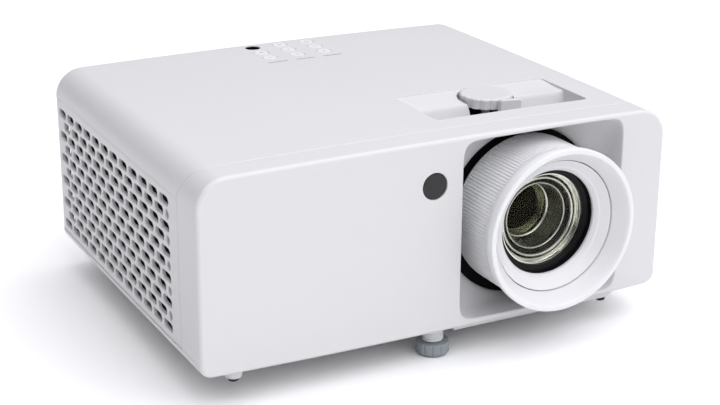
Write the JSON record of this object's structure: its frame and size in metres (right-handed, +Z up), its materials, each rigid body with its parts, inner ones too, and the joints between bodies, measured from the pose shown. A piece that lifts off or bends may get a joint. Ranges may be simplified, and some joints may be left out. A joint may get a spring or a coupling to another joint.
{
  "type": "home projector",
  "caption": "White box-shaped home projector with a large ribbed zoom lens to one side, side grilles, a top keypad, a lens shift dial and screw feet.",
  "frame": {"origin": "on the ground under the middle of the bounding box, lens lip included", "axes": "the lens looks towards -Y, +X is to the right seen from the front, +Z up"},
  "size_m": [0.336, 0.297, 0.1523],
  "materials": {
    "white_case": "satin white moulded plastic with a fine texture",
    "white_lens_ring": "smooth satin white plastic",
    "foot_grey": "mid grey plastic",
    "black_plastic": "satin black",
    "ir_window": "gloss black infrared filter plastic",
    "indicator_guide": "smoky grey light guide",
    "pad_rubber": "black rubber",
    "coated_glass": "clear lens with a faint green coating",
    "dark_glass": "dark coated lens",
    "silver_barrel": "turned metal, satin",
    "steel": "plated steel",
    "cast_alloy": "die cast, matt",
    "circuit_board": "green solder mask",
    "dark_plastic": "dark moulded plastic"
  },
  "bodies": {
    "case": {"front_bezel": "white_case", "top_cover": "white_case", "left_side_panel": "white_case", "right_side_panel": "white_case", "rear_panel": "white_case", "bottom_case": "white_case", "power_inlet": "black_plastic", "audio_jack": "black_plastic", "front_ir_window": "ir_window", "top_ir_window": "ir_window", "power_indicator": "indicator_guide", "heat_indicator": "indicator_guide", "light_indicator": "indicator_guide", "front_left_pad": "pad_rubber", "front_right_pad": "pad_rubber", "hdmi_socket_1": "steel", "hdmi_socket_2": "steel", "usb_socket": "steel", "network_socket": "steel", "case_screw_front_left": "steel", "case_screw_front_right": "steel", "case_screw_rear_left": "steel", "case_screw_rear_right": "steel", "left_guide_rod": "steel", "right_guide_rod": "steel", "chassis_plate": "cast_alloy", "laser_module": "cast_alloy", "heat_sink": "cast_alloy", "main_board": "circuit_board", "keypad_board": "circuit_board", "optical_engine": "dark_plastic", "power_supply": "dark_plastic", "exhaust_fan_frame": "dark_plastic", "intake_fan_frame": "dark_plastic"},
    "lens_carriage": {"lens_carriage": "cast_alloy", "lens_barrel": "silver_barrel", "lens_trim_ring": "white_lens_ring", "lens_baffle": "black_plastic", "front_lens": "coated_glass", "middle_lens": "dark_glass"},
    "focus_ring": {"focus_ring": "white_lens_ring"},
    "zoom_ring": {"zoom_ring": "white_case"},
    "lens_shift_dial": {"lens_shift_dial": "white_case"},
    "shift_screw": {"shift_screw": "steel"},
    "exhaust_fan_rotor": {"exhaust_fan_rotor": "black_plastic"},
    "intake_fan_rotor": {"intake_fan_rotor": "black_plastic"},
    "power_button": {"power_button": "white_case"},
    "source_button": {"source_button": "white_case"},
    "menu_button": {"menu_button": "white_case"},
    "up_button": {"up_button": "white_case"},
    "back_button": {"back_button": "white_case"},
    "left_button": {"left_button": "white_case"},
    "enter_button": {"enter_button": "white_case"},
    "right_button": {"right_button": "white_case"},
    "front_foot_screw": {"front_foot_screw": "white_case"},
    "front_foot_knob": {"front_foot_knob": "foot_grey"},
    "rear_left_foot_screw": {"rear_left_foot_screw": "white_case"},
    "rear_left_foot_knob": {"rear_left_foot_knob": "foot_grey"},
    "rear_right_foot_screw": {"rear_right_foot_screw": "white_case"},
    "rear_right_foot_knob": {"rear_right_foot_knob": "foot_grey"}
  },
  "joints": [
    {"name": "lens_shift", "type": "slide", "parent": "case", "child": "lens_carriage", "axis": [0, 0, 1], "range_m": [-0.0025, 0.0025]},
    {"name": "lens_shift_dial_turn", "type": "hinge", "parent": "case", "child": "lens_shift_dial", "pos_m": [0.0727, -0.0505, 0.14], "axis": [0, 0, 1], "range_deg": [-150, 150]},
    {"name": "shift_screw_turn", "type": "hinge", "parent": "case", "child": "shift_screw", "pos_m": [0.0427, -0.0505, 0.125], "axis": [0, 0, 1], "range_deg": [-150, 150]},
    {"name": "focus_turn", "type": "hinge", "parent": "lens_carriage", "child": "focus_ring", "pos_m": [0.0727, -0.1235, 0.0845], "axis": [0, 1, 0], "range_deg": [-60, 60]},
    {"name": "zoom_turn", "type": "hinge", "parent": "lens_carriage", "child": "zoom_ring", "pos_m": [0.0727, -0.0775, 0.0845], "axis": [0, 1, 0], "range_deg": [-22.5, 13.5]},
    {"name": "power_button_press", "type": "slide", "parent": "case", "child": "power_button", "axis": [0, 0, -1], "range_m": [0, 0.0008], "stiffness_N_per_m": 400},
    {"name": "source_button_press", "type": "slide", "parent": "case", "child": "source_button", "axis": [0, 0, -1], "range_m": [0, 0.0008], "stiffness_N_per_m": 400},
    {"name": "menu_button_press", "type": "slide", "parent": "case", "child": "menu_button", "axis": [0, 0, -1], "range_m": [0, 0.0008], "stiffness_N_per_m": 400},
    {"name": "up_button_press", "type": "slide", "parent": "case", "child": "up_button", "axis": [0, 0, -1], "range_m": [0, 0.0008], "stiffness_N_per_m": 400},
    {"name": "back_button_press", "type": "slide", "parent": "case", "child": "back_button", "axis": [0, 0, -1], "range_m": [0, 0.0008], "stiffness_N_per_m": 400},
    {"name": "left_button_press", "type": "slide", "parent": "case", "child": "left_button", "axis": [0, 0, -1], "range_m": [0, 0.0008], "stiffness_N_per_m": 400},
    {"name": "enter_button_press", "type": "slide", "parent": "case", "child": "enter_button", "axis": [0, 0, -1], "range_m": [0, 0.0008], "stiffness_N_per_m": 400},
    {"name": "right_button_press", "type": "slide", "parent": "case", "child": "right_button", "axis": [0, 0, -1], "range_m": [0, 0.0008], "stiffness_N_per_m": 400},
    {"name": "front_foot_travel", "type": "slide", "parent": "case", "child": "front_foot_screw", "axis": [0, 0, 1], "range_m": [-0.012, 0.005]},
    {"name": "front_foot_turn", "type": "hinge", "parent": "front_foot_screw", "child": "front_foot_knob", "pos_m": [0, -0.1095, 0.0045], "axis": [0, 0, 1], "range_deg": [-2161, 901]},
    {"name": "rear_left_foot_travel", "type": "slide", "parent": "case", "child": "rear_left_foot_screw", "axis": [0, 0, 1], "range_m": [-0.01, 0.01]},
    {"name": "rear_left_foot_turn", "type": "hinge", "parent": "rear_left_foot_screw", "child": "rear_left_foot_knob", "pos_m": [-0.118, 0.1145, 0.0045], "axis": [0, 0, 1], "range_deg": [-1801, 1801]},
    {"name": "rear_right_foot_travel", "type": "slide", "parent": "case", "child": "rear_right_foot_screw", "axis": [0, 0, 1], "range_m": [-0.01, 0.01]},
    {"name": "rear_right_foot_turn", "type": "hinge", "parent": "rear_right_foot_screw", "child": "rear_right_foot_knob", "pos_m": [0.118, 0.1145, 0.0045], "axis": [0, 0, 1], "range_deg": [-1801, 1801]},
    {"name": "exhaust_fan_spin", "type": "hinge", "parent": "case", "child": "exhaust_fan_rotor", "pos_m": [-0.147, -0.0285, 0.074], "axis": [1, 0, 0], "continuous": true},
    {"name": "intake_fan_spin", "type": "hinge", "parent": "case", "child": "intake_fan_rotor", "pos_m": [0.147, 0.0415, 0.074], "axis": [1, 0, 0], "continuous": true}
  ],
  "couplings": [
    {"joint": "lens_shift_dial_turn", "follows": "lens_shift", "rad_per_m": 1047.2},
    {"joint": "shift_screw_turn", "follows": "lens_shift", "rad_per_m": -1047.2},
    {"joint": "front_foot_turn", "follows": "front_foot_travel", "rad_per_m": 3141.6},
    {"joint": "rear_left_foot_turn", "follows": "rear_left_foot_travel", "rad_per_m": 3141.6},
    {"joint": "rear_right_foot_turn", "follows": "rear_right_foot_travel", "rad_per_m": 3141.6}
  ]
}
